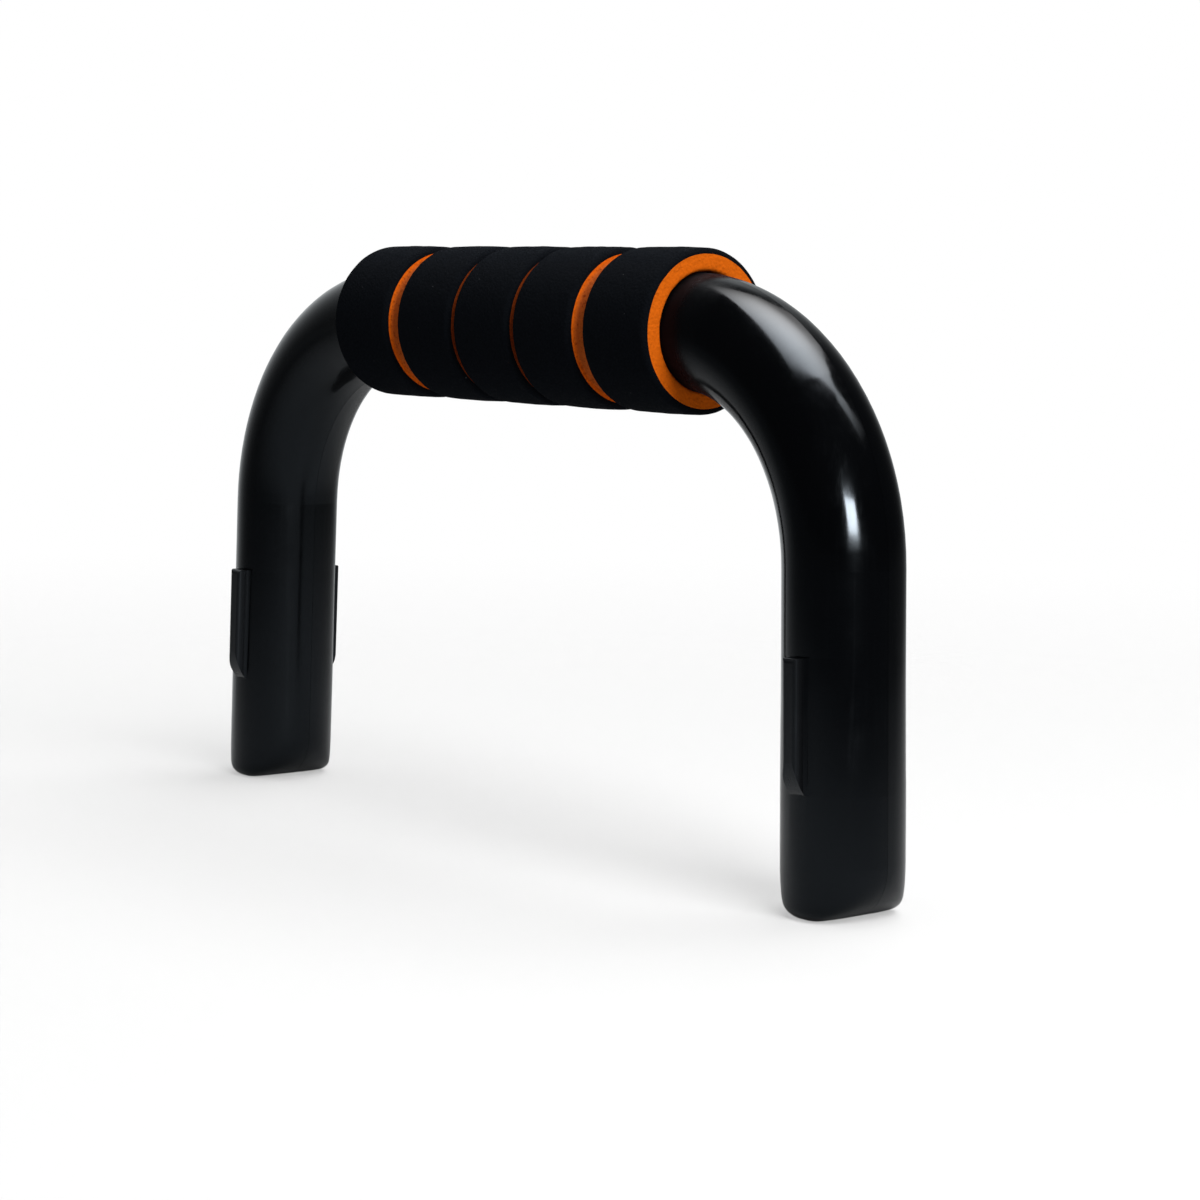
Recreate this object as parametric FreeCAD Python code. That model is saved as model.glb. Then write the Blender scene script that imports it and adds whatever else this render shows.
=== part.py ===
import FreeCAD, Part

import math
import os

# Parallette bar: the U-shaped handle of a push-up stand. Two moulded half shells meet in the plane
# of the U and make a bent tube with closed leg tips and plug-in keys. A foam sleeve of two colours
# is pushed over the bar: an orange core, and five black bands with ring grooves between them.
# Millimetres and degrees. +X runs along the bar, -Y is the front, +Z is up. The origin is on the
# floor, midway between the two leg tips.

# Bent tube
TUBE_DIAMETER = 30.0
SHELL_WALL = 3.5
BEND_RADIUS = 57.2  # to the tube's axis
LEG_STRAIGHT = 84.0  # along the leg, from the floor to the bend
LEG_SPLAY = 2.0  # how far each leg leans out on its way down

# Plug end of each leg
PLUG_SWELL = 0.2  # the plug is this much larger in radius than the tube
TIP_FLAT = 4.0  # width of the flat that the tip stands on
TIP_EDGE = 3.5  # rounding of the tip at the front and rear
TIP_SQUARENESS = 6  # straightness of the tip's flanks from above: 2 would give an ellipse
TIP_RINGS = 8
TIP_POINTS = 24  # round each ring

# Keys on the front and rear of each leg
KEY_WIDTH = 5.0
KEY_HEIGHT = 3.3  # beyond the tube
KEY_FOOT = 30.4  # along the leg, from the floor to the foot of the lead-in
KEY_LENGTH = 33.0
KEY_LEAD = 8.0  # curved lead-in at the lower end
KEY_ROUND = 1.2  # outer edges
KEY_BLEND = 1.3  # fillet where the sides run into the tube

# Seam between the half shells
TONGUE_WIDTH = 1.2
TONGUE_HEIGHT = 1.8
SEAM_CLEARANCE = 0.1
REVEAL_DEPTH = 0.08  # fine line that the seam leaves on the outside
REVEAL_WIDTH = 0.08

# Foam grip
CORE_WALL = 4.5
BAND_WALL = 1.5
BAND_ROUND = 1.2  # soft outer edges of each band
BAND_ROUND_LIMIT_SHARE = 0.9  # of the band's wall
END_BAND_LENGTH = 24.3
MID_BAND_LENGTH = 23.2
OUTER_GROOVE = 5.5
INNER_GROOVE = 2.4
GROOVE_BITE = 1.4  # how far the grooves go into the core
GRIP_OVERRUN = 4.3  # how far the sleeve runs onto each bend
GRIP_SHIFT = 1.55  # the sleeve sits this far towards +X

# Reach of cutting solids past what they cut
OVERRUN = 10.0

# Derived sizes
TUBE_RADIUS = TUBE_DIAMETER / 2
PLUG_RADIUS = TUBE_RADIUS + PLUG_SWELL
TIP_ROUND = PLUG_RADIUS - TIP_FLAT / 2
KEY_TOP = KEY_FOOT + KEY_LENGTH
BAND_LENGTHS = (END_BAND_LENGTH, MID_BAND_LENGTH, MID_BAND_LENGTH, MID_BAND_LENGTH, END_BAND_LENGTH)
GROOVE_WIDTHS = (OUTER_GROOVE, INNER_GROOVE, INNER_GROOVE, OUTER_GROOVE)
GRIP_LENGTH = sum(BAND_LENGTHS) + sum(GROOVE_WIDTHS)
GRIP_START = GRIP_SHIFT - GRIP_LENGTH / 2
CORE_RADIUS = TUBE_RADIUS + CORE_WALL
BAND_RADIUS = CORE_RADIUS + BAND_WALL
BAR_HALF = GRIP_LENGTH / 2 - GRIP_OVERRUN
SPLAY_SIN = math.sin(math.radians(LEG_SPLAY))
SPLAY_COS = math.cos(math.radians(LEG_SPLAY))
BEND_HEIGHT = LEG_STRAIGHT * SPLAY_COS - BEND_RADIUS * SPLAY_SIN
BAR_HEIGHT = BEND_HEIGHT + BEND_RADIUS
FOOT_X = BAR_HALF + BEND_RADIUS * SPLAY_COS + LEG_STRAIGHT * SPLAY_SIN

SIDES = (-1, 1)
ORIGIN = FreeCAD.Vector(0, 0, 0)
ALONG_X = FreeCAD.Vector(1, 0, 0)
ALONG_Y = FreeCAD.Vector(0, 1, 0)
ALONG_Z = FreeCAD.Vector(0, 0, 1)


def on_leg(shape, side):
    """Place a shape made on an upright leg, with its foot at the origin, on one of the splayed legs."""
    shape.rotate(ORIGIN, ALONG_Y, -side * LEG_SPLAY)
    shape.translate(FreeCAD.Vector(side * FOOT_X, 0, 0))
    return shape


def bend(side, radius):
    """The quarter bend that joins the bar to a leg."""
    centre = FreeCAD.Vector(side * BAR_HALF, 0, BAR_HEIGHT)
    disc = Part.Face(Part.Wire(Part.makeCircle(radius, centre, ALONG_X)))
    pivot = FreeCAD.Vector(side * BAR_HALF, 0, BEND_HEIGHT)
    return disc.revolve(pivot, ALONG_Y * side, math.degrees(math.pi / 2) - LEG_SPLAY)


def tip_depth(height, inset):
    """Half the tip's depth, front to rear, at a height above the floor."""
    if height >= TIP_EDGE or inset >= TIP_EDGE:
        return PLUG_RADIUS - inset
    rise = max(0, height - inset)
    return PLUG_RADIUS - TIP_EDGE + math.sqrt(rise * (2 * (TIP_EDGE - inset) - rise))


def tip_ring(width, depth):
    """The tip's outline from above: a circle of its depth with the flanks drawn in to its width."""
    points = []
    for count in range(TIP_POINTS):
        turn = 2 * math.pi * count / TIP_POINTS
        along = math.atan2(depth * math.sin(turn), width * math.cos(turn))
        flank = (width**-TIP_SQUARENESS - depth**-TIP_SQUARENESS) * abs(math.cos(along)) ** TIP_SQUARENESS
        radius = (depth**-TIP_SQUARENESS + flank) ** (-1 / TIP_SQUARENESS)
        points.append(FreeCAD.Vector(radius * math.cos(along), radius * math.sin(along), 0))
    curve = Part.BSplineCurve()
    curve.interpolate(
        Points=points,
        PeriodicFlag=True,
        Parameters=[count / TIP_POINTS for count in range(TIP_POINTS + 1)],
    )
    return curve.toShape()


def leg_tip(side, inset):
    """Closed tip: a bullnose about Y that ends in a narrow level flat, with softened front and rear."""
    rings = []
    for count in range(TIP_RINGS):
        share = count / TIP_RINGS
        turn = math.pi / 2 * share
        height = TIP_ROUND - (TIP_ROUND - inset) * math.cos(turn)
        depth = tip_depth(height, inset)
        width = min(depth, TIP_FLAT / 2 + (TIP_ROUND - inset) * math.sin(turn))
        ring = tip_ring(width, depth)
        ring.rotate(ORIGIN, ALONG_Y, side * LEG_SPLAY * (1 - share))
        ring.translate(ALONG_Z * height)
        rings.append(Part.Wire(ring))
    rings.append(Part.Wire(Part.makeCircle(PLUG_RADIUS - inset, ALONG_Z * TIP_ROUND)))
    return Part.makeLoft(rings, True)


def leg(side, inset):
    """Straight leg: the tube swells a little along the keys, down to a plug with a closed tip."""
    radius = TUBE_RADIUS - inset
    plug_radius = PLUG_RADIUS - inset
    profile = Part.makePolygon(
        [
            FreeCAD.Vector(0, 0, TIP_ROUND),
            FreeCAD.Vector(plug_radius, 0, TIP_ROUND),
            FreeCAD.Vector(plug_radius, 0, KEY_FOOT),
            FreeCAD.Vector(radius, 0, KEY_TOP),
            FreeCAD.Vector(radius, 0, LEG_STRAIGHT),
            FreeCAD.Vector(0, 0, LEG_STRAIGHT),
            FreeCAD.Vector(0, 0, TIP_ROUND),
        ]
    )
    shank = Part.Face(profile).revolve(ORIGIN, ALONG_Z, math.degrees(2 * math.pi))
    return on_leg(shank.fuse(leg_tip(side, inset)), side)


def tube(inset):
    """The whole bent tube as a closed solid, with its surface moved in by inset."""
    radius = TUBE_RADIUS - inset
    bar = Part.makeCylinder(
        radius, 2 * BAR_HALF, FreeCAD.Vector(-BAR_HALF, 0, BAR_HEIGHT), ALONG_X
    )
    limbs = [bend(side, radius) for side in SIDES] + [leg(side, inset) for side in SIDES]
    return bar.multiFuse(limbs).removeSplitter()


def outline(inset):
    """The tube's section in the plane of the U."""
    return Part.Face(tube(inset).slice(ALONG_Y, 0)[0])


def seam_ring(outer_inset, inner_inset, start, depth):
    """A wall that follows the seam all round, from Y = start over a depth along Y."""
    ring = outline(outer_inset).cut(outline(inner_inset))
    ring.translate(ALONG_Y * start)
    return ring.extrude(ALONG_Y * depth)


def half_space(side):
    """A block that covers one side of the seam plane."""
    reach = FOOT_X + TUBE_DIAMETER + OVERRUN
    height = BAR_HEIGHT + TUBE_DIAMETER + OVERRUN
    depth = TUBE_DIAMETER + OVERRUN
    corner = FreeCAD.Vector(-reach, min(0, side * depth), -OVERRUN)
    return Part.makeBox(2 * reach, depth, height + OVERRUN, corner)


def key_section():
    """A key's outline from above: rounded outer edges, and sides that blend into the tube."""
    root = TUBE_RADIUS - SHELL_WALL / 2
    edges = []
    feet = []
    crowns = []
    for side in SIDES:
        outward = ALONG_X * side
        blend = outward * (KEY_WIDTH / 2 + KEY_BLEND)
        blend.y = math.sqrt((TUBE_RADIUS + KEY_BLEND) ** 2 - blend.x**2)
        to_tube = (ORIGIN - blend).normalize()
        foot = blend + to_tube * KEY_BLEND
        fold = blend + (to_tube - outward).normalize() * KEY_BLEND
        flank = blend - outward * KEY_BLEND
        corner = outward * (KEY_WIDTH / 2 - KEY_ROUND)
        corner.y = TUBE_RADIUS + KEY_HEIGHT - KEY_ROUND
        shoulder = corner + outward * KEY_ROUND
        brow = corner + (outward + ALONG_Y).normalize() * KEY_ROUND
        crown = corner + ALONG_Y * KEY_ROUND
        edges.append(Part.Arc(foot, fold, flank).toShape())
        edges.append(Part.makeLine(flank, shoulder))
        edges.append(Part.Arc(shoulder, brow, crown).toShape())
        root_corner = FreeCAD.Vector(foot.x, root, 0)
        edges.append(Part.makeLine(foot, root_corner))
        feet.append(root_corner)
        crowns.append(crown)
    edges.append(Part.makeLine(*feet))
    edges.append(Part.makeLine(*crowns))
    return Part.Face(Part.Wire(Part.sortEdges(edges)[0]))


def key_profile():
    """A key's outline from the side: rounded at the top, with a curved lead-in at its lower end."""
    outer = TUBE_RADIUS + KEY_HEIGHT
    root = TUBE_RADIUS - SHELL_WALL / 2
    surface = math.sqrt(PLUG_RADIUS**2 - (KEY_WIDTH / 2) ** 2)  # where the key's sides meet the plug
    lead_rise = outer - surface
    lead_radius = (lead_rise**2 + KEY_LEAD**2) / (2 * lead_rise)
    half_turn = math.asin(KEY_LEAD / lead_radius) / 2
    lead_start = FreeCAD.Vector(0, surface, KEY_FOOT)
    lead_middle = FreeCAD.Vector(
        0,
        outer - lead_radius * (1 - math.cos(half_turn)),
        KEY_FOOT + KEY_LEAD - lead_radius * math.sin(half_turn),
    )
    lead_end = FreeCAD.Vector(0, outer, KEY_FOOT + KEY_LEAD)
    corner = FreeCAD.Vector(0, outer - KEY_ROUND, KEY_TOP - KEY_ROUND)
    outer_top = corner + ALONG_Y * KEY_ROUND
    brow = corner + (ALONG_Y + ALONG_Z).normalize() * KEY_ROUND
    crown = corner + ALONG_Z * KEY_ROUND
    root_top = FreeCAD.Vector(0, root, KEY_TOP)
    root_foot = FreeCAD.Vector(0, root, KEY_FOOT)
    return Part.Face(
        Part.Wire(
            [
                Part.Arc(lead_start, lead_middle, lead_end).toShape(),
                Part.makeLine(lead_end, outer_top),
                Part.Arc(outer_top, brow, crown).toShape(),
                Part.makeLine(crown, root_top),
                Part.makeLine(root_top, root_foot),
                Part.makeLine(root_foot, lead_start),
            ]
        )
    )


def key(leg_side, face_side):
    """A plug key on the front or rear of a leg: its section run along the leg, cut to its profile."""
    rib = key_section().extrude(ALONG_Z * KEY_LENGTH)
    rib.translate(ALONG_Z * KEY_FOOT)
    reach = KEY_WIDTH + 2 * KEY_BLEND
    profile = key_profile()
    profile.translate(ALONG_X * (-reach / 2))
    block = rib.common(profile.extrude(ALONG_X * reach))
    if face_side < 0:
        block.rotate(ORIGIN, ALONG_Z, math.degrees(math.pi))
    return on_leg(block, leg_side)


def half_shell(hollow, face_side):
    """One half of the hollow tube, with its keys and its fine reveal along the seam."""
    half = hollow.common(half_space(face_side))
    half = half.multiFuse([key(leg_side, face_side) for leg_side in SIDES])
    reveal = seam_ring(-OVERRUN / 2, REVEAL_DEPTH, -REVEAL_WIDTH / 2, REVEAL_WIDTH)
    return half.cut(reveal)


def shells():
    """Front shell with the tongue, rear shell with the groove that takes it."""
    hollow = tube(0).cut(tube(SHELL_WALL))
    near = (SHELL_WALL - TONGUE_WIDTH) / 2
    far = near + TONGUE_WIDTH
    tongue = seam_ring(near, far, 0, TONGUE_HEIGHT)
    groove = seam_ring(
        near - SEAM_CLEARANCE, far + SEAM_CLEARANCE, 0, TONGUE_HEIGHT + SEAM_CLEARANCE
    )
    front = half_shell(hollow, -1).fuse(tongue)
    rear = half_shell(hollow, 1).cut(groove)
    return {"front_shell": front.removeSplitter(), "rear_shell": rear.removeSplitter()}


def sleeve(inner, outer, start, length):
    """A plain sleeve on the bar's axis."""
    base = FreeCAD.Vector(start, 0, BAR_HEIGHT)
    return Part.makeCylinder(outer, length, base, ALONG_X).cut(
        Part.makeCylinder(inner, length, base, ALONG_X)
    )


def rounded_rims(band):
    """Soften the two outer rims of a foam band."""
    rims = [
        edge
        for edge in band.Edges
        if isinstance(edge.Curve, Part.Circle) and math.isclose(edge.Curve.Radius, BAND_RADIUS)
    ]
    return band.makeFillet(min(BAND_ROUND, BAND_WALL * BAND_ROUND_LIMIT_SHARE), rims)


def band_starts():
    """Where each foam band starts along the bar."""
    starts = [GRIP_START]
    for length, groove in zip(BAND_LENGTHS, GROOVE_WIDTHS):
        starts.append(starts[-1] + length + groove)
    return starts


def foam():
    """Orange core, cut in under each groove and bored by the tube, and the black bands round it."""
    base = FreeCAD.Vector(GRIP_START, 0, BAR_HEIGHT)
    core = Part.makeCylinder(CORE_RADIUS, GRIP_LENGTH, base, ALONG_X)
    starts = band_starts()
    for start, length, groove in zip(starts, BAND_LENGTHS, GROOVE_WIDTHS):
        core = core.cut(sleeve(CORE_RADIUS - GROOVE_BITE, BAND_RADIUS, start + length, groove))
    nodes = {"foam_core": core.cut(tube(0))}
    for number, (start, length) in enumerate(zip(starts, BAND_LENGTHS), 1):
        band = sleeve(CORE_RADIUS, BAND_RADIUS, start, length)
        nodes[f"foam_band_{number}"] = rounded_rims(band)
    return nodes


os.makedirs("parts", exist_ok=True)
for name, shape in {**shells(), **foam()}.items():
    shape.exportStep(f"parts/{name}.step")
    print(name, "solids", len(shape.Solids), "valid", shape.isValid(), "mm3", round(shape.Volume))
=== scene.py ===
import math

import bmesh
import bpy
from mathutils import Matrix, Vector


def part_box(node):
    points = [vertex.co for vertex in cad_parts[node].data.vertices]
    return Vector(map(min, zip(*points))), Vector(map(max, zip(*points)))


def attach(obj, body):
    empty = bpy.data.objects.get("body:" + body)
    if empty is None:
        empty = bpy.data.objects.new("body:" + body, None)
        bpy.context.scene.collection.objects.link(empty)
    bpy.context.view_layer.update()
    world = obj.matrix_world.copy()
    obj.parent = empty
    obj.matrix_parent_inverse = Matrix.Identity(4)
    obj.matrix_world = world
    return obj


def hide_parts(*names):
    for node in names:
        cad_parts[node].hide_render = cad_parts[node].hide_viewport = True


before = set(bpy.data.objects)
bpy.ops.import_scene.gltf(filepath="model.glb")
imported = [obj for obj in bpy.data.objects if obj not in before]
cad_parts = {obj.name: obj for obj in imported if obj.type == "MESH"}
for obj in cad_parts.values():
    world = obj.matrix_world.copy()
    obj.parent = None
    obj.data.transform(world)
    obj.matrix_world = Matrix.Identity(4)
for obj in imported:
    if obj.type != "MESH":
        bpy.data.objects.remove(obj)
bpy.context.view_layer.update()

# Looks of a parallette bar: a glossy black bent tube of two half shells, with a foam grip of an
# orange core and five black bands. Metres. +X runs along the bar, -Y is the front, +Z is up.

# Shape of the foam grip
BORE_RADIUS = 0.01515  # just clear of the tube
BORE_LIP = 0.0009  # soft edge where the tube comes out of the foam
GROOVE_BITE = 0.0014  # how far the grooves go into the orange core
GROOVE_FOLD = 0.0006  # rounding at the bottom of the grooves
BAND_SHOULDER = 0.00135  # rounding of the bands' outer edges
BAND_CROWN = 0.0002  # how much each band swells at its middle
BAND_COUNT = 5
SHOULDER_STEPS = 6
LIP_STEPS = 4
FOAM_STEP = 0.0008  # longest edge of the foam meshes that show
RING_STEPS = 168
FOAM_LUMP = 0.0032  # size and height of the foam's gentle unevenness
FOAM_LUMP_HEIGHT = 0.00016
FOAM_LUMP_DETAIL = 1
FOAM_SMOOTH_ANGLE = math.radians(50)
TOUCH = 1e-6
GROOVE_DEPTH = "groove_depth"  # attribute: 0 at the core's skin, 1 at a wide groove's floor; the orange's painted shade follows it
NARROW_DEPTH = 2.0  # its value in the narrow grooves, which little light gets into

# Polished plastic; a range is (low, high)
PLASTIC_IOR = 1.5
PLASTIC_SPECULAR = 0.27
SMUDGE_SCALE = 42.0
SMUDGE_DETAIL = 4.0
SMUDGE_GRAIN = 0.6
SMUDGE_DISTORTION = 0.8
SMUDGE_RANGE = (0.35, 0.75)
SMUDGE_ROUGHNESS = (0.085, 0.17)
MARK_STRETCH = (900.0, 900.0, 9.0)  # draw marks from the mould run up and down
MARK_DETAIL = 2.0
MARK_RANGE = (0.5, 0.8)
MARK_ROUGHNESS = 0.06
DUST_DENSITY = 300.0
DUST_SIZE = 0.06
DUST_SHARE = 0.05
DUST_ROUGHNESS = 0.5
WAVE_SCALE = 38.0
WAVE_DETAIL = 1.0
WAVE_HEIGHT = 0.00012
WAVE_STRENGTH = 0.6
SLEEVE_RUB_REACH = 0.016  # the sleeve rubs the polish duller this far from the grip's ends
SLEEVE_RUB_ROUGHNESS = 0.22
HAZE_RANGE_X = (-0.11, -0.085)  # the left leg's polish is hazier, as in the photograph
HAZE_ROUGHNESS = 0.085
KEY_RUB_RANGE = (0.0153, 0.0166)  # sockets rub the keys dull; only they stand out this far in Y
KEY_RUB_ROUGHNESS = 0.12

# Foam; cells, lint, pores and painted shade in the grooves
CELL_SMOOTHNESS = 0.6
GRAIN_DETAIL = 3.0
GRAIN_ROUGHNESS = 0.7
PORE_RANGE = (0.52, 0.7)
SKIN_CELL_SCALE = 1500.0
SKIN_CELL_HEIGHT = 0.00035
SKIN_STRENGTH = 0.8
SKIN_ROUGHNESS = 0.9
SKIN_SPECULAR = 0.01
LINT_DENSITY = 640.0
LINT_SIZE = 0.12
LINT_SHARE = 0.05
CUT_CELL_SCALE = 1100.0
CUT_CELL_HEIGHT = 0.0004
CUT_STRENGTH = 0.7
CUT_ROUGHNESS = 0.85
CUT_SPECULAR = 0.02
CUT_PORE_AND_SHADE_SHARE = (0.25, 0.9)  # of the pores, at the core's skin and at a groove's floor; that more show deeper in the grooves is painted shade
GROOVE_SHADE_FROM = 0.3  # groove depths from which painted shade turns the orange deeper, and darker
SHADED_DEPTH = 0.8
SHADED_MOST = 0.75

# Colours, as linear light
PLASTIC_BLACK = (0.0011, 0.0012, 0.0016, 1)
PLASTIC_RUBBED = (0.0062, 0.0068, 0.0078, 1)
PLASTIC_DUST = (0.05, 0.051, 0.053, 1)
PLASTIC_SHEEN = (0.75, 0.88, 1, 1)
FOAM_BLACK = (0.0028, 0.0036, 0.0049, 1)
FOAM_BLACK_RAISED = (0.0062, 0.0074, 0.0097, 1)
FOAM_LINT = (0.07, 0.073, 0.078, 1)
FOAM_ORANGE = (0.82, 0.152, 0.0062, 1)
# painted shade: the orange of the groove floors, and the pores' colour that also paints the narrow
# grooves' shade
FOAM_ORANGE_SHADED = (0.43, 0.095, 0.016, 1)
FOAM_ORANGE_PORE_AND_SHADE = (0.16, 0.022, 0.003, 1)
FOAM_ORANGE_MIRRORED = (0.17, 0.034, 0.022, 1)  # painted reflection: the darker orange that the tube's polish shows of it
FLOOR_PALE = (0.87, 0.87, 0.87, 1)
SOFTBOX_WHITE = (1, 0.963, 0.941, 1)
DRAPE_GREY = (0.94, 0.98, 1, 1)
WHITE = (1, 1, 1, 1)

# Camera, fitted to the photograph
CAMERA_TARGET = Vector((0.02888, 0, 0.06751))
CAMERA_AZIMUTH = math.radians(50.15)
CAMERA_ELEVATION = math.radians(6.167)
CAMERA_ROLL = math.radians(1.115)
CAMERA_DISTANCE = 0.7646
CAMERA_LENS = 86.73
CAMERA_SENSOR = 36

# Studio; plan places are (to the right, away) as the camera sees them
FLOOR_RADIUS = 0.85
FLOOR_STEPS = 96
FLOOR_OPACITY = 0.69
FLOOR_DITHER = 0.3  # spread of its opacity, so that no hairline shows where the denoiser loses it
FLOOR_FADE = 1.6
FLOOR_DROP = 0.0001
SOFTBOX_HEIGHT = 2.0
SOFTBOX_CENTRE = (0.38, 0.4)
SOFTBOX_SIZE = (1.65, 2.1)
SOFTBOX_SKEW = 0.56  # how much further back its right side lies
SOFTBOX_BRIGHT = (-0.04, -0.46)  # its brightest spot, from its middle
SOFTBOX_RADIANCE = 17.2
SOFTBOX_REACH = 1.5  # from its brightest spot to where it is dimmest
PANEL_DIM_SHARE = 0.08
WING_CENTRE = (1.8, -0.33)
WING_SIZE = (1.2, 0.42)
WING_SKEW = 0.12
WING_BRIGHT = (-0.6, 0.0)
WING_RADIANCE = 6.2
WING_REACH = 1.25
STRIP_SIZE = (0.4, 0.3)
STRIP_DISTANCE = 1.4
STRIP_AZIMUTH = math.radians(67)
STRIP_ELEVATION = math.radians(16.5)
STRIP_RADIANCE = 56.0
FILL_SIZE = (0.7, 0.7)
FILL_DISTANCE = 1.3
FILL_AZIMUTH = math.radians(80)
FILL_ELEVATION = math.radians(46)
FILL_RADIANCE = 8.2
OVERHEAD_RADIANCE = 3.5
WORLD_FILL = 0.25
DRAPE_RADIUS = 3.0
DRAPE_HEIGHT = 2.8
DRAPE_LOW = -0.4
DRAPE_STEPS = 96
DRAPE_TURN = math.radians(15)  # its bright back lies this far to the left
DRAPE_DIM_RANGE = (-1.1, -0.7)  # it dims between these heights, from its middle
DRAPE_RADIANCE = (0.075, 0.035)  # below and above them
DRAPE_BACK_RADIANCE = 0.72
DRAPE_BACK_FADE = 4.5

core_low, core_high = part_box("foam_core")
bar_height = (core_low.z + core_high.z) / 2
core_radius = (core_high.z - core_low.z) / 2
grip_middle = (core_low.x + core_high.x) / 2
grip_half = (core_high.x - core_low.x) / 2
band_boxes = [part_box(f"foam_band_{number}") for number in range(1, BAND_COUNT + 1)]
band_radius = (band_boxes[0][1].z - band_boxes[0][0].z) / 2
groove_radius = core_radius - GROOVE_BITE
grooves = [(left[1].x, right[0].x) for left, right in zip(band_boxes, band_boxes[1:])]


# Modelling helpers

def pick(piece, kind, test):
    """In edit mode, select only the vertices, edges or faces that pass a test; say how many did."""
    bpy.ops.mesh.select_mode(type=kind)
    bpy.ops.mesh.select_all(action="DESELECT")
    cage = bmesh.from_edit_mesh(piece.data)
    elements = {"VERT": cage.verts, "EDGE": cage.edges, "FACE": cage.faces}[kind]
    chosen = [element for element in elements if test(element)]
    for element in chosen:
        element.select_set(True)
    cage.select_flush_mode()
    bmesh.update_edit_mesh(piece.data)
    return len(chosen)


def foam_section(name, low_x, high_x, inner, outer):
    """A flat section of the grip that stands above the bar's axis, ready to be shaped and spun."""
    bpy.ops.object.select_all(action="DESELECT")
    middle = (inner + outer) / 2
    bpy.ops.mesh.primitive_plane_add(
        size=1,
        location=((low_x + high_x) / 2, 0, bar_height + middle),
        rotation=(math.pi / 2, 0, 0),
    )
    piece = bpy.context.object
    piece.name = name
    piece.data.name = name
    piece.scale = (high_x - low_x, outer - inner, 1)
    bpy.ops.object.transform_apply(location=True, rotation=True, scale=True)
    bpy.ops.object.mode_set(mode="EDIT")
    return piece


def radius_of(vertex):
    """Height of a section's vertex above the bar's axis."""
    return vertex.co.z - bar_height


def refine(piece, shows):
    """Halve the section's edges that show until none is longer than the foam's step."""
    def too_long(edge):
        return edge.calc_length() > FOAM_STEP and shows(edge)

    while pick(piece, "EDGE", too_long):
        bpy.ops.mesh.subdivide(number_cuts=1)


def spin_section(piece):
    """Spin the section's outline round the bar into one closed skin, and leave edit mode."""
    bpy.ops.mesh.select_all(action="SELECT")
    bpy.ops.mesh.spin(
        steps=RING_STEPS, angle=2 * math.pi, center=(0, 0, bar_height), axis=(1, 0, 0)
    )
    bpy.ops.mesh.select_all(action="SELECT")
    bpy.ops.mesh.remove_doubles(threshold=TOUCH)
    bpy.ops.mesh.normals_make_consistent(inside=False)
    bpy.ops.object.mode_set(mode="OBJECT")


def soften(piece, lumps):
    """Give a foam skin its gentle unevenness and smooth shading."""
    uneven = piece.modifiers.new("uneven", "DISPLACE")
    uneven.texture = lumps
    uneven.texture_coords = "GLOBAL"
    uneven.strength = FOAM_LUMP_HEIGHT
    bpy.ops.object.modifier_apply(modifier=uneven.name)
    bpy.ops.object.shade_smooth_by_angle(angle=FOAM_SMOOTH_ANGLE)


def finish_foam(piece, node, material):
    """Put a foam piece on the bar in place of its solid."""
    piece.data.materials.clear()
    piece.data.materials.append(material)
    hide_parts(node)
    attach(piece, "root")


# Foam pieces

def foam_band(number, lumps, material):
    """A black band: a flat strip's section with two rounded shoulders and a slight crown, spun."""
    low, high = band_boxes[number - 1]
    piece = foam_section(f"foam_skin_{number}", low.x, high.x, core_radius, band_radius)
    pick(piece, "VERT", lambda vertex: radius_of(vertex) > band_radius - TOUCH)
    bpy.ops.mesh.bevel(affect="VERTICES", offset=BAND_SHOULDER, segments=SHOULDER_STEPS)
    bpy.ops.mesh.select_all(action="SELECT")
    bpy.ops.mesh.delete(type="ONLY_FACE")
    refine(piece, lambda edge: min(radius_of(v) for v in edge.verts) > core_radius + TOUCH)
    cage = bmesh.from_edit_mesh(piece.data)
    middle = (low.x + high.x) / 2
    for vertex in cage.verts:
        along = (vertex.co.x - middle) / (high.x - middle)
        height = (radius_of(vertex) - core_radius) / (band_radius - core_radius)
        vertex.co.z += BAND_CROWN * height * (1 - along**2)
    bmesh.update_edit_mesh(piece.data)
    spin_section(piece)
    soften(piece, lumps)
    finish_foam(piece, f"foam_band_{number}", material)


def groove_at(x):
    """The ends of the groove at a place along the bar, or None between the grooves."""
    return next((ends for ends in grooves if ends[0] - TOUCH < x < ends[1] + TOUCH), None)


def note_groove_depths(piece):
    """Store how deep in a groove each vertex of the core lies, for the painted shade of its material.
    """
    depths = piece.data.attributes.new(GROOVE_DEPTH, "FLOAT", "POINT")
    widest = max(end - start for start, end in grooves)
    for vertex, depth in zip(piece.data.vertices, depths.data):
        groove = groove_at(vertex.co.x)
        if groove is None:
            continue
        if groove[1] - groove[0] > widest - TOUCH:
            radius = math.hypot(vertex.co.y, vertex.co.z - bar_height)
            depth.value = min((core_radius - radius) / GROOVE_BITE, 1)
        else:
            depth.value = NARROW_DEPTH


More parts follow.
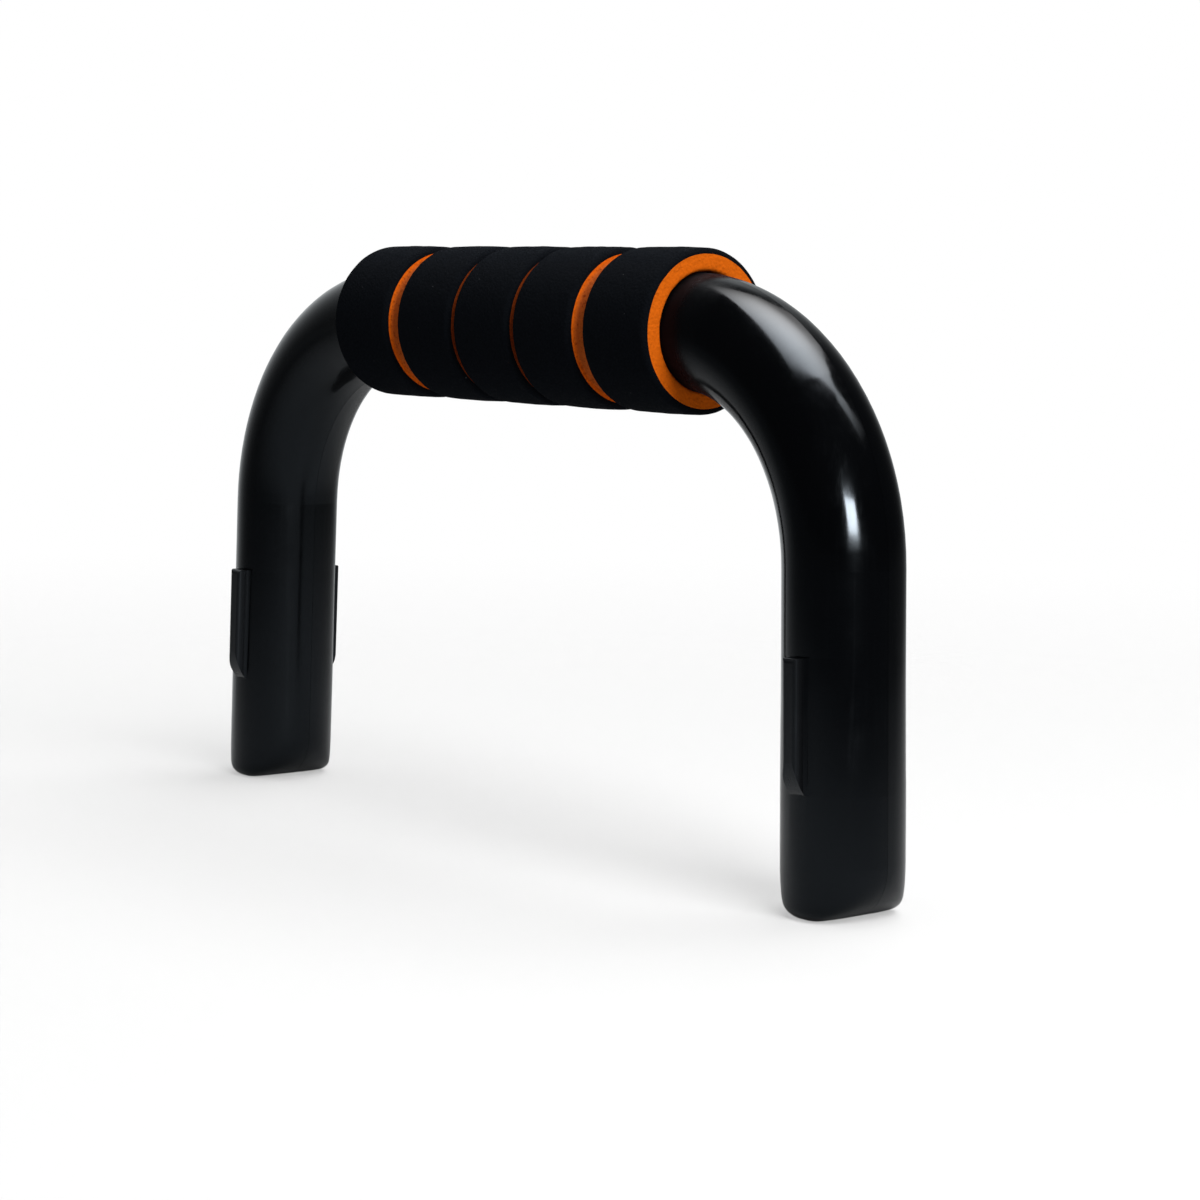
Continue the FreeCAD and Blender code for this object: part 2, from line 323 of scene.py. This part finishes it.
def foam_core(lumps, material):
    """The orange core: a sleeve's section, notched under each groove, with soft bore lips, spun."""
    piece = foam_section("foam_core_sleeve", core_low.x, core_high.x, BORE_RADIUS, core_radius)
    for edge_x in [x for groove in grooves for x in groove]:
        bpy.ops.mesh.select_all(action="SELECT")
        bpy.ops.mesh.bisect(plane_co=(edge_x, 0, 0), plane_no=(1, 0, 0))
    bpy.ops.mesh.select_all(action="SELECT")
    bpy.ops.mesh.bisect(plane_co=(0, 0, bar_height + groove_radius), plane_no=(0, 0, 1))

    def over_groove(face):
        middle = face.calc_center_median()
        return groove_at(middle.x) and middle.z - bar_height > groove_radius

    pick(piece, "FACE", over_groove)
    bpy.ops.mesh.delete(type="FACE")
    bpy.ops.mesh.select_mode(type="FACE")
    bpy.ops.mesh.select_all(action="SELECT")
    bpy.ops.mesh.dissolve_faces()

    def at_groove_floor(vertex):
        return groove_at(vertex.co.x) and abs(radius_of(vertex) - groove_radius) < TOUCH

    def at_bore_end(vertex):
        return radius_of(vertex) < BORE_RADIUS + TOUCH and (
            vertex.co.x < core_low.x + TOUCH or vertex.co.x > core_high.x - TOUCH
        )

    pick(piece, "VERT", at_groove_floor)
    bpy.ops.mesh.bevel(affect="VERTICES", offset=GROOVE_FOLD, segments=LIP_STEPS)
    pick(piece, "VERT", at_bore_end)
    bpy.ops.mesh.bevel(affect="VERTICES", offset=BORE_LIP, segments=LIP_STEPS)
    bpy.ops.mesh.select_all(action="SELECT")
    bpy.ops.mesh.delete(type="ONLY_FACE")

    def shows(edge):
        middle = sum((vertex.co for vertex in edge.verts), Vector()) / 2
        at_end = middle.x < core_low.x + BORE_LIP or middle.x > core_high.x - BORE_LIP
        off_bore = middle.z - bar_height > BORE_RADIUS + TOUCH
        return off_bore and (at_end or groove_at(middle.x))

    refine(piece, shows)
    spin_section(piece)
    note_groove_depths(piece)
    soften(piece, lumps)
    finish_foam(piece, "foam_core", material)


# Material helpers

def add_node(tree, kind, inputs=None, **settings):
    """A new node with its settings, and each input linked to a socket or set to a value."""
    made = tree.nodes.new(kind)
    for name, value in settings.items():
        setattr(made, name, value)
    for name, value in (inputs or {}).items():
        if isinstance(value, bpy.types.NodeSocket):
            tree.links.new(value, made.inputs[name])
        else:
            made.inputs[name].default_value = value
    return made


def new_group(name, inputs, outputs):
    """A shader node group with named sockets; gives its tree, its input node and its output node."""
    group = bpy.data.node_groups.new(name, "ShaderNodeTree")
    for socket, kind in inputs:
        group.interface.new_socket(socket, in_out="INPUT", socket_type=kind)
    for socket, kind in outputs:
        group.interface.new_socket(socket, in_out="OUTPUT", socket_type=kind)
    return group, group.nodes.new("NodeGroupInput"), group.nodes.new("NodeGroupOutput")


def mix_colour(tree, factor, first, second):
    """Blend of two colours by a factor from 0 to 1."""
    mixed = add_node(tree, "ShaderNodeMix", {0: factor, 6: first, 7: second}, data_type="RGBA")
    return mixed.outputs[2]


def math_node(tree, operation, *values):
    """Result of a sum, product or other operation on sockets and values."""
    inputs = dict(enumerate(values))
    return add_node(tree, "ShaderNodeMath", inputs, operation=operation).outputs[0]


def ramp(tree, value, given=(0, 1), made=(0, 1), kind="LINEAR"):
    """A value that runs from one end of a range to the other as a given value runs through its own."""
    inputs = {
        "Value": value,
        "From Min": given[0],
        "From Max": given[1],
        "To Min": made[0],
        "To Max": made[1],
    }
    return add_node(tree, "ShaderNodeMapRange", inputs, interpolation_type=kind).outputs["Result"]


def add_bump(tree, shader, height, distance, strength):
    """Bump a shader's surface by a height from 0 to 1 that stands for a distance."""
    inputs = {"Height": height, "Distance": distance, "Strength": strength}
    bump = add_node(tree, "ShaderNodeBump", inputs)
    tree.links.new(bump.outputs["Normal"], shader.inputs["Normal"])


def specks_group():
    """Sparse specks of dust or lint: a mask that is 1 inside them."""
    group, given, made = new_group(
        "specks",
        [
            ("Vector", "NodeSocketVector"),
            ("Density", "NodeSocketFloat"),
            ("Size", "NodeSocketFloat"),
            ("Share", "NodeSocketFloat"),
        ],
        [("Mask", "NodeSocketFloat")],
    )
    cells = add_node(
        group,
        "ShaderNodeTexVoronoi",
        {"Vector": given.outputs["Vector"], "Scale": given.outputs["Density"]},
    )
    chance = add_node(group, "ShaderNodeSeparateColor", {"Color": cells.outputs["Color"]})
    kept = math_node(group, "LESS_THAN", chance.outputs["Red"], given.outputs["Share"])
    grown = math_node(group, "MULTIPLY", given.outputs["Size"], chance.outputs["Green"])
    inside = math_node(group, "LESS_THAN", cells.outputs["Distance"], grown)
    group.links.new(math_node(group, "MULTIPLY", kept, inside), made.inputs["Mask"])
    return group


def foam_cells_group():
    """Cells of closed foam: their height, and a mask of the pores between them."""
    group, given, made = new_group(
        "foam_cells",
        [("Vector", "NodeSocketVector"), ("Cell Scale", "NodeSocketFloat")],
        [("Height", "NodeSocketFloat"), ("Pores", "NodeSocketFloat")],
    )
    place = {"Vector": given.outputs["Vector"], "Scale": given.outputs["Cell Scale"]}
    cells = add_node(
        group,
        "ShaderNodeTexVoronoi",
        {**place, "Smoothness": CELL_SMOOTHNESS},
        feature="SMOOTH_F1",
    )
    grain = add_node(
        group,
        "ShaderNodeTexNoise",
        {**place, "Detail": GRAIN_DETAIL, "Roughness": GRAIN_ROUGHNESS},
    ).outputs["Fac"]
    domes = math_node(group, "SUBTRACT", 1.0, cells.outputs["Distance"])
    both = math_node(group, "ADD", domes, grain)
    group.links.new(math_node(group, "DIVIDE", both, 2.0), made.inputs["Height"])
    group.links.new(ramp(group, grain, PORE_RANGE), made.inputs["Pores"])
    return group


def new_material(name):
    """A material with its tree, its Principled shader and Object coordinates."""
    material = bpy.data.materials.new(name)
    material.use_nodes = True
    tree = material.node_tree
    shader = tree.nodes["Principled BSDF"]
    coords = tree.nodes.new("ShaderNodeTexCoord").outputs["Object"]
    return material, tree, shader, coords


def bare_material(name):
    """A material without a shader; gives its tree, its surface socket and Object coordinates."""
    material, tree, shader, coords = new_material(name)
    tree.nodes.remove(shader)
    return material, tree, tree.nodes["Material Output"].inputs["Surface"], coords


# Materials of the part

def polish_roughness(tree, coords, along):
    """Roughness of the polish: smudges, draw marks, rubbing by the sleeve and the left leg's haze."""
    smudges = add_node(
        tree,
        "ShaderNodeTexNoise",
        {
            "Vector": coords,
            "Scale": SMUDGE_SCALE,
            "Detail": SMUDGE_DETAIL,
            "Roughness": SMUDGE_GRAIN,
            "Distortion": SMUDGE_DISTORTION,
        },
    )
    drawn = add_node(tree, "ShaderNodeMapping", {"Vector": coords, "Scale": MARK_STRETCH})
    marks = add_node(
        tree,
        "ShaderNodeTexNoise",
        {"Vector": drawn.outputs[0], "Scale": 1.0, "Detail": MARK_DETAIL},
    )
    off_middle = math_node(tree, "ABSOLUTE", math_node(tree, "SUBTRACT", along, grip_middle))
    rub_range = (grip_half, grip_half + SLEEVE_RUB_REACH)
    rough = ramp(tree, smudges.outputs["Fac"], SMUDGE_RANGE, SMUDGE_ROUGHNESS)
    for layer in (
        ramp(tree, marks.outputs["Fac"], MARK_RANGE, (0, MARK_ROUGHNESS)),
        ramp(tree, off_middle, rub_range, (SLEEVE_RUB_ROUGHNESS, 0)),
        ramp(tree, along, HAZE_RANGE_X, (HAZE_ROUGHNESS, 0)),
    ):
        rough = math_node(tree, "ADD", rough, layer)
    return rough


def polished_plastic(specks):
    """Polished black moulding: faint waves from the mould, smudges, draw marks, dust and dull keys."""
    material, tree, shader, coords = new_material("polished_black_plastic")
    dust = add_node(
        tree,
        "ShaderNodeGroup",
        {"Vector": coords, "Density": DUST_DENSITY, "Size": DUST_SIZE, "Share": DUST_SHARE},
        node_tree=specks,
    ).outputs["Mask"]
    place = add_node(tree, "ShaderNodeSeparateXYZ", {0: coords})
    on_key = ramp(tree, math_node(tree, "ABSOLUTE", place.outputs["Y"]), KEY_RUB_RANGE)
    rough = polish_roughness(tree, coords, place.outputs["X"])
    rough = math_node(tree, "MULTIPLY_ADD", on_key, KEY_RUB_ROUGHNESS, rough)
    rough = math_node(tree, "MULTIPLY_ADD", dust, DUST_ROUGHNESS, rough)
    tree.links.new(rough, shader.inputs["Roughness"])
    plastic = mix_colour(tree, on_key, PLASTIC_BLACK, PLASTIC_RUBBED)
    tree.links.new(mix_colour(tree, dust, plastic, PLASTIC_DUST), shader.inputs["Base Color"])
    waves = add_node(
        tree, "ShaderNodeTexNoise", {"Vector": coords, "Scale": WAVE_SCALE, "Detail": WAVE_DETAIL}
    )
    add_bump(tree, shader, waves.outputs["Fac"], WAVE_HEIGHT, WAVE_STRENGTH)
    shader.inputs["IOR"].default_value = PLASTIC_IOR
    shader.inputs["Specular IOR Level"].default_value = PLASTIC_SPECULAR
    shader.inputs["Specular Tint"].default_value = PLASTIC_SHEEN
    return material


def black_foam(cells, specks):
    """Black foam skin: fine closed cells, a soft bloom and a little lint."""
    material, tree, shader, coords = new_material("black_foam_skin")
    skin = add_node(
        tree,
        "ShaderNodeGroup",
        {"Vector": coords, "Cell Scale": SKIN_CELL_SCALE},
        node_tree=cells,
    ).outputs["Height"]
    lint = add_node(
        tree,
        "ShaderNodeGroup",
        {"Vector": coords, "Density": LINT_DENSITY, "Size": LINT_SIZE, "Share": LINT_SHARE},
        node_tree=specks,
    ).outputs["Mask"]
    foam = mix_colour(tree, skin, FOAM_BLACK, FOAM_BLACK_RAISED)
    tree.links.new(mix_colour(tree, lint, foam, FOAM_LINT), shader.inputs["Base Color"])
    add_bump(tree, shader, skin, SKIN_CELL_HEIGHT, SKIN_STRENGTH)
    shader.inputs["Roughness"].default_value = SKIN_ROUGHNESS
    shader.inputs["Specular IOR Level"].default_value = SKIN_SPECULAR
    return material


def orange_foam(cells):
    """Cut orange foam: open cells that show as darker pores, and painted shade that makes it deeper
    and darker in the grooves.
    """
    material, tree, shader, coords = new_material("cut_orange_foam")
    cut = add_node(
        tree,
        "ShaderNodeGroup",
        {"Vector": coords, "Cell Scale": CUT_CELL_SCALE},
        node_tree=cells,
    )
    depth = add_node(tree, "ShaderNodeAttribute", attribute_name=GROOVE_DEPTH).outputs["Fac"]
    # painted shade: more pores show deeper in the grooves
    pore_and_shade_share = ramp(tree, depth, made=CUT_PORE_AND_SHADE_SHARE)
    pores = math_node(tree, "MULTIPLY", cut.outputs["Pores"], pore_and_shade_share)
    # painted shade: the orange turns deeper and darker down the grooves, darkest in the narrow ones
    shaded = ramp(tree, depth, (SHADED_DEPTH, NARROW_DEPTH), (0, SHADED_MOST))
    dark = math_node(tree, "MAXIMUM", pores, shaded)
    painted_groove_shade = ramp(tree, depth, (GROOVE_SHADE_FROM, 1))
    foam = mix_colour(tree, painted_groove_shade, FOAM_ORANGE, FOAM_ORANGE_SHADED)
    foam = mix_colour(tree, dark, foam, FOAM_ORANGE_PORE_AND_SHADE)
    # painted reflection: glossy rays see the orange darker
    mirrored = tree.nodes.new("ShaderNodeLightPath").outputs["Is Glossy Ray"]
    foam = mix_colour(tree, mirrored, foam, FOAM_ORANGE_MIRRORED)
    tree.links.new(foam, shader.inputs["Base Color"])
    add_bump(tree, shader, cut.outputs["Height"], CUT_CELL_HEIGHT, CUT_STRENGTH)
    shader.inputs["Roughness"].default_value = CUT_ROUGHNESS
    shader.inputs["Specular IOR Level"].default_value = CUT_SPECULAR
    return material


# Studio

def studio_world():
    """White all round where it is seen, also in gloss or through glass, and a dim fill as light."""
    world = bpy.data.worlds.new("studio")
    world.use_nodes = True
    tree = world.node_tree
    path = tree.nodes.new("ShaderNodeLightPath").outputs
    seen = math_node(tree, "MAXIMUM", path["Is Camera Ray"], path["Is Glossy Ray"])
    seen = math_node(tree, "MAXIMUM", seen, path["Is Transmission Ray"])
    background = tree.nodes["Background"]
    background.inputs["Color"].default_value = WHITE
    tree.links.new(ramp(tree, seen, made=(WORLD_FILL, 1)), background.inputs["Strength"])
    bpy.context.scene.world = world


def studio_point(plan, height):
    """A point of the studio from its plan place as the camera sees it."""
    turn = Matrix.Rotation(CAMERA_AZIMUTH, 3, "Z")
    return turn @ Vector((*plan, height))


def stage_floor():
    """A pale round floor that fades out into the white background."""
    bpy.ops.object.select_all(action="DESELECT")
    bpy.ops.mesh.primitive_circle_add(
        vertices=FLOOR_STEPS,
        radius=FLOOR_RADIUS,
        fill_type="NGON",
        location=(0, 0, -FLOOR_DROP),
    )
    floor = bpy.context.object
    floor.name = "floor"
    material, tree, surface, coords = bare_material("pale_floor")
    away = add_node(tree, "ShaderNodeVectorMath", {0: coords}, operation="LENGTH").outputs["Value"]
    faded = math_node(tree, "POWER", ramp(tree, away, (0, FLOOR_RADIUS), (1, 0)), FLOOR_FADE)
    chance = add_node(tree, "ShaderNodeTexWhiteNoise", {"Vector": coords}).outputs["Value"]
    opacities = (FLOOR_OPACITY - FLOOR_DITHER, FLOOR_OPACITY + FLOOR_DITHER)
    opaque = math_node(tree, "MULTIPLY", faded, ramp(tree, chance, made=opacities))
    clear = tree.nodes.new("ShaderNodeBsdfTransparent").outputs[0]
    pale = add_node(tree, "ShaderNodeBsdfDiffuse", {"Color": FLOOR_PALE}).outputs[0]
    mixed = add_node(tree, "ShaderNodeMixShader", {0: opaque, 1: clear, 2: pale})
    tree.links.new(mixed.outputs[0], surface)
    floor.data.materials.append(material)


def glowing_material(name, colour):
    """A material that only glows; gives its tree, its strength socket and Object coordinates."""
    material, tree, surface, coords = bare_material(name)
    emission = add_node(tree, "ShaderNodeEmission", {"Color": colour})
    tree.links.new(emission.outputs[0], surface)
    return material, tree, emission.inputs["Strength"], coords


def ceiling_panel(name, centre, size, skew, bright, radiance, reach):
    """A panel overhead that only the gloss shows; it glows most at one spot, less away from it."""
    bpy.ops.object.select_all(action="DESELECT")
    bpy.ops.mesh.primitive_plane_add(
        size=1, location=studio_point(centre, SOFTBOX_HEIGHT), rotation=(0, 0, CAMERA_AZIMUTH)
    )
    panel = bpy.context.object
    panel.name = name
    for corner in panel.data.vertices:
        across, along = corner.co.xy
        corner.co = (across * size[0], along * size[1] + across * skew, 0)
    panel.visible_camera = False
    panel.visible_diffuse = False
    material, tree, strength, coords = glowing_material(name + "_cloth", SOFTBOX_WHITE)
    away = add_node(
        tree, "ShaderNodeVectorMath", {0: coords, 1: (*bright, 0)}, operation="DISTANCE"
    ).outputs["Value"]
    radiances = (radiance, radiance * PANEL_DIM_SHARE)
    tree.links.new(ramp(tree, away, (0, reach), radiances, kind="SMOOTHSTEP"), strength)
    panel.data.materials.append(material)


def place_at(azimuth, elevation, distance):
    """A point at a direction and distance from the camera's target."""
    return CAMERA_TARGET + distance * Vector(
        (
            math.sin(azimuth) * math.cos(elevation),
            -math.cos(azimuth) * math.cos(elevation),
            math.sin(elevation),
        )
    )


def area_lamp(name, place, size, radiance, glossy):
    """A rectangular lamp that faces the part; it lights either the gloss or everything else."""
    lamp = bpy.data.lights.new(name, "AREA")
    lamp.shape = "RECTANGLE"
    lamp.size, lamp.size_y = size
    lamp.energy = radiance * math.pi * size[0] * size[1]
    lamp.color = SOFTBOX_WHITE[:3] if glossy else WHITE[:3]
    light = bpy.data.objects.new(name, lamp)
    bpy.context.scene.collection.objects.link(light)
    light.location = place
    light.rotation_euler = (place - CAMERA_TARGET).to_track_quat("Z", "Y").to_euler()
    light.visible_glossy = glossy
    light.visible_diffuse = not glossy
    return light


def strip_lamp():
    """The strip in the gloss of the front shell alone: from behind it would burn out the rear one."""
    place = place_at(STRIP_AZIMUTH, STRIP_ELEVATION, STRIP_DISTANCE)
    strip = area_lamp("strip", place, STRIP_SIZE, STRIP_RADIANCE, glossy=True)
    lit = bpy.data.collections.new("strip_lit")
    lit.objects.link(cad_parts["front_shell"])
    strip.light_linking.receiver_collection = lit


def dark_drape():
    """A dark tent that only the gloss shows, and that keeps it black; paler low and behind."""
    bpy.ops.object.select_all(action="DESELECT")
    bpy.ops.mesh.primitive_cylinder_add(
        vertices=DRAPE_STEPS,
        radius=DRAPE_RADIUS,
        depth=DRAPE_HEIGHT,
        location=(0, 0, DRAPE_LOW + DRAPE_HEIGHT / 2),
        rotation=(0, 0, CAMERA_AZIMUTH + DRAPE_TURN),
    )
    drape = bpy.context.object
    drape.name = "dark_drape"
    material, tree, strength, coords = glowing_material("dark_cloth", DRAPE_GREY)
    place = add_node(tree, "ShaderNodeSeparateXYZ", {0: coords}).outputs
    paler = math_node(tree, "POWER", ramp(tree, place["Y"], (0, DRAPE_RADIUS)), DRAPE_BACK_FADE)
    dim = ramp(tree, place["Z"], DRAPE_DIM_RANGE, DRAPE_RADIANCE, kind="SMOOTHSTEP")
    grey = math_node(tree, "MULTIPLY_ADD", paler, DRAPE_BACK_RADIANCE, dim)
    tree.links.new(grey, strength)
    material.cycles.emission_sampling = "NONE"
    drape.data.materials.append(material)
    drape.visible_camera = False
    drape.visible_diffuse = False
    drape.visible_shadow = False


def photo_camera():
    """The camera at the photograph's viewing angle."""
    back = place_at(CAMERA_AZIMUTH, CAMERA_ELEVATION, 1) - CAMERA_TARGET
    level = Vector((math.cos(CAMERA_AZIMUTH), math.sin(CAMERA_AZIMUTH), 0))
    upright = back.cross(level)
    right = math.cos(CAMERA_ROLL) * level + math.sin(CAMERA_ROLL) * upright
    up = back.cross(right)
    lens = bpy.data.cameras.new("photo_camera")
    lens.lens = CAMERA_LENS
    lens.sensor_width = CAMERA_SENSOR
    camera = bpy.data.objects.new("photo_camera", lens)
    bpy.context.scene.collection.objects.link(camera)
    turn = Matrix((right, up, back)).transposed().to_4x4()
    camera.matrix_world = Matrix.Translation(CAMERA_TARGET + back * CAMERA_DISTANCE) @ turn
    bpy.context.scene.camera = camera


specks = specks_group()
cells = foam_cells_group()
plastic = polished_plastic(specks)
foam_skin = black_foam(cells, specks)
foam_cut = orange_foam(cells)

for name in ("front_shell", "rear_shell"):
    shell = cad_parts[name]
    shell.data.materials.clear()
    shell.data.materials.append(plastic)

lumps = bpy.data.textures.new("foam_lumps", "CLOUDS")
lumps.noise_scale = FOAM_LUMP
lumps.noise_depth = FOAM_LUMP_DETAIL
foam_core(lumps, foam_cut)
for number in range(1, BAND_COUNT + 1):
    foam_band(number, lumps, foam_skin)

stage_floor()
ceiling_panel(
    "softbox",
    SOFTBOX_CENTRE,
    SOFTBOX_SIZE,
    SOFTBOX_SKEW,
    SOFTBOX_BRIGHT,
    SOFTBOX_RADIANCE,
    SOFTBOX_REACH,
)
ceiling_panel("wing", WING_CENTRE, WING_SIZE, WING_SKEW, WING_BRIGHT, WING_RADIANCE, WING_REACH)
strip_lamp()
fill_place = place_at(FILL_AZIMUTH, FILL_ELEVATION, FILL_DISTANCE)
area_lamp("fill", fill_place, FILL_SIZE, FILL_RADIANCE, glossy=False)
overhead_place = studio_point(SOFTBOX_CENTRE, SOFTBOX_HEIGHT)
area_lamp("overhead", overhead_place, SOFTBOX_SIZE, OVERHEAD_RADIANCE, glossy=False)
dark_drape()
studio_world()
photo_camera()
bpy.context.scene.view_settings.view_transform = "Standard"
